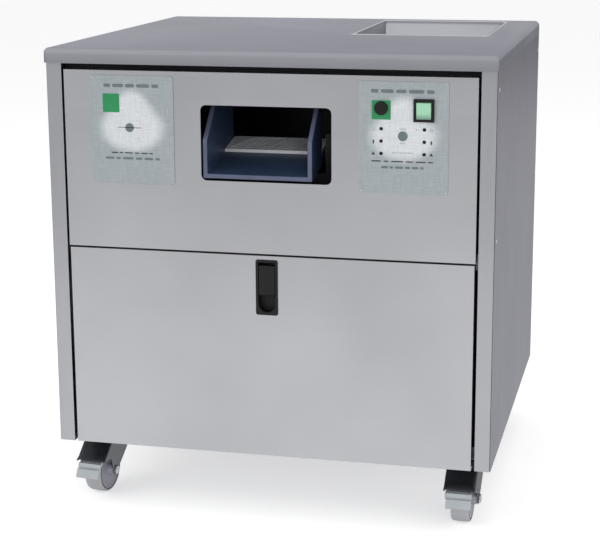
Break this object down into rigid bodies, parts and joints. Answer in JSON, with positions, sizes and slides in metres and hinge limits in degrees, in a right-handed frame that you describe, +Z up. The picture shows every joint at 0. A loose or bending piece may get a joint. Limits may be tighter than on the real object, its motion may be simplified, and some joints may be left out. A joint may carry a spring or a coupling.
{
  "type": "cutlery polisher",
  "caption": "Floor-standing vibrating cutlery polisher: steel cabinet on braked castors, feed hopper in the worktop, discharge chute and control plates at the front, door below.",
  "frame": {"origin": "on the floor under the middle of the machine's bounding box", "axes": "+Z up, -Y out of the front with the chute and the door, +X to the right seen from the front"},
  "size_m": [0.702, 0.662, 0.744],
  "materials": {
    "satin_steel": "satin stainless steel",
    "dark_steel": "plain steel, in shade",
    "zinc": "bright zinc plate",
    "blue_plastic": "moulded, matt",
    "black_plastic": "moulded, fine grain",
    "lit_green": "translucent lens, lit",
    "grey_rubber": "non-marking grey rubber",
    "label_sheet": "coated plate with a bright field",
    "motor_paint": "painted casting",
    "spring_steel": "drawn spring wire"
  },
  "bodies": {
    "cabinet": {"base_pan": "satin_steel", "left_side_frame": "satin_steel", "right_side_frame": "satin_steel", "left_side_panel": "satin_steel", "right_side_panel": "satin_steel", "mid_rail": "satin_steel", "top_frame": "dark_steel", "rear_panel": "satin_steel", "upper_front_panel": "satin_steel", "worktop": "satin_steel", "feed_hopper": "satin_steel", "door_pin_left": "zinc", "door_pin_right": "zinc", "left_label_plate": "label_sheet", "right_label_plate": "label_sheet", "rocker_housing": "black_plastic", "indicator_strip_left": "black_plastic", "indicator_strip_right": "black_plastic", "electrics_box": "black_plastic", "cable_gland": "black_plastic", "spring_front_left": "spring_steel", "spring_front_right": "spring_steel", "spring_rear_left": "spring_steel", "spring_rear_right": "spring_steel", "castor_plate_fl": "zinc", "castor_plate_fr": "zinc", "castor_plate_rl": "zinc", "castor_plate_rr": "zinc"},
    "door": {"lower_door": "satin_steel", "latch_bezel": "black_plastic"},
    "paddle": {"latch_paddle": "black_plastic"},
    "catch": {"latch_catch": "zinc"},
    "rocker": {"rocker_key": "lit_green"},
    "button": {"start_button": "black_plastic"},
    "shaker": {"polishing_bowl": "satin_steel", "spiral_ramp": "satin_steel", "hub_cap": "blue_plastic", "discharge_chute": "blue_plastic", "separating_grid": "satin_steel", "heater_ring": "dark_steel", "motor_mount_plate": "satin_steel", "motor_housing": "motor_paint", "drain_spout": "satin_steel"},
    "rotor": {"motor_rotor": "motor_paint"},
    "valve": {"drain_valve": "zinc"},
    "fork_fl": {"castor_fork_fl": "zinc", "castor_axle_fl": "zinc"},
    "fork_fr": {"castor_fork_fr": "zinc", "castor_axle_fr": "zinc"},
    "fork_rl": {"castor_fork_rl": "zinc", "castor_axle_rl": "zinc"},
    "fork_rr": {"castor_fork_rr": "zinc", "castor_axle_rr": "zinc"},
    "wheel_body_fl": {"castor_wheel_fl": "grey_rubber"},
    "wheel_body_fr": {"castor_wheel_fr": "grey_rubber"},
    "wheel_body_rl": {"castor_wheel_rl": "grey_rubber"},
    "wheel_body_rr": {"castor_wheel_rr": "grey_rubber"},
    "pedal_fl": {"castor_pedal_fl": "zinc"},
    "pedal_fr": {"castor_pedal_fr": "zinc"}
  },
  "joints": [
    {"name": "access_door_hinge", "type": "hinge", "parent": "cabinet", "child": "door", "pos_m": [0, -0.31, 0.117], "axis": [1, 0, 0], "range_deg": [0, 90]},
    {"name": "bowl_shake", "type": "slide", "parent": "cabinet", "child": "shaker", "axis": [0, 0, 1], "range_m": [-0.003, 0.003], "stiffness_N_per_m": 90000, "springref_m": 0.0052, "deforming": ["spring_front_left", "spring_front_right", "spring_rear_left", "spring_rear_right"]},
    {"name": "brake_pedal_fl", "type": "hinge", "parent": "fork_fl", "child": "pedal_fl", "pos_m": [-0.30801, -0.27907, 0.069], "axis": [0.9925, -0.1219, 0], "range_deg": [0, 12]},
    {"name": "brake_pedal_fr", "type": "hinge", "parent": "fork_fr", "child": "pedal_fr", "pos_m": [0.3, -0.27949, 0.069], "axis": [0.9998, -0.0175, 0], "range_deg": [0, 12]},
    {"name": "door_latch_lift", "type": "hinge", "parent": "door", "child": "paddle", "pos_m": [0, -0.3155, 0.4115], "axis": [-1, 0, 0], "range_deg": [0, 35], "stiffness_Nm_per_rad": 0.06},
    {"name": "drain_valve_swing", "type": "hinge", "parent": "shaker", "child": "valve", "pos_m": [0.042, -0.158, 0.2244], "axis": [0, 0, 1], "range_deg": [0, 75]},
    {"name": "latch_catch_slide", "type": "slide", "parent": "door", "child": "catch", "axis": [0, 0, -1], "range_m": [0, 0.006]},
    {"name": "motor_spin", "type": "hinge", "parent": "shaker", "child": "rotor", "pos_m": [0, 0.02, 0.2], "axis": [0, 0, 1], "continuous": true},
    {"name": "rocker_switch", "type": "hinge", "parent": "cabinet", "child": "rocker", "pos_m": [0.2417, -0.3188, 0.661], "axis": [-1, 0, 0], "range_deg": [0, 10]},
    {"name": "start_button_press", "type": "slide", "parent": "cabinet", "child": "button", "axis": [0, 1, 0], "range_m": [0, 0.003], "stiffness_N_per_m": 400},
    {"name": "swivel_fl", "type": "hinge", "parent": "cabinet", "child": "fork_fl", "pos_m": [-0.301, -0.222, 0.09], "axis": [0, 0, 1], "continuous": true},
    {"name": "swivel_fr", "type": "hinge", "parent": "cabinet", "child": "fork_fr", "pos_m": [0.301, -0.222, 0.09], "axis": [0, 0, 1], "continuous": true},
    {"name": "swivel_rl", "type": "hinge", "parent": "cabinet", "child": "fork_rl", "pos_m": [-0.301, 0.251, 0.09], "axis": [0, 0, 1], "continuous": true},
    {"name": "swivel_rr", "type": "hinge", "parent": "cabinet", "child": "fork_rr", "pos_m": [0.301, 0.251, 0.09], "axis": [0, 0, 1], "continuous": true},
    {"name": "wheel_fl", "type": "hinge", "parent": "fork_fl", "child": "wheel_body_fl", "pos_m": [-0.30466, -0.25178, 0.0375], "axis": [0.9925, -0.1219, 0], "continuous": true},
    {"name": "wheel_fr", "type": "hinge", "parent": "fork_fr", "child": "wheel_body_fr", "pos_m": [0.30048, -0.252, 0.0375], "axis": [0.9998, -0.0175, 0], "continuous": true},
    {"name": "wheel_rl", "type": "hinge", "parent": "fork_rl", "child": "wheel_body_rl", "pos_m": [-0.29786, 0.22116, 0.0375], "axis": [0.9945, 0.1045, 0], "continuous": true},
    {"name": "wheel_rr", "type": "hinge", "parent": "fork_rr", "child": "wheel_body_rr", "pos_m": [0.29891, 0.22107, 0.0375], "axis": [0.9976, -0.0698, 0], "continuous": true}
  ],
  "couplings": [
    {"joint": "latch_catch_slide", "follows": "door_latch_lift", "m_per_rad": 0.0098}
  ]
}
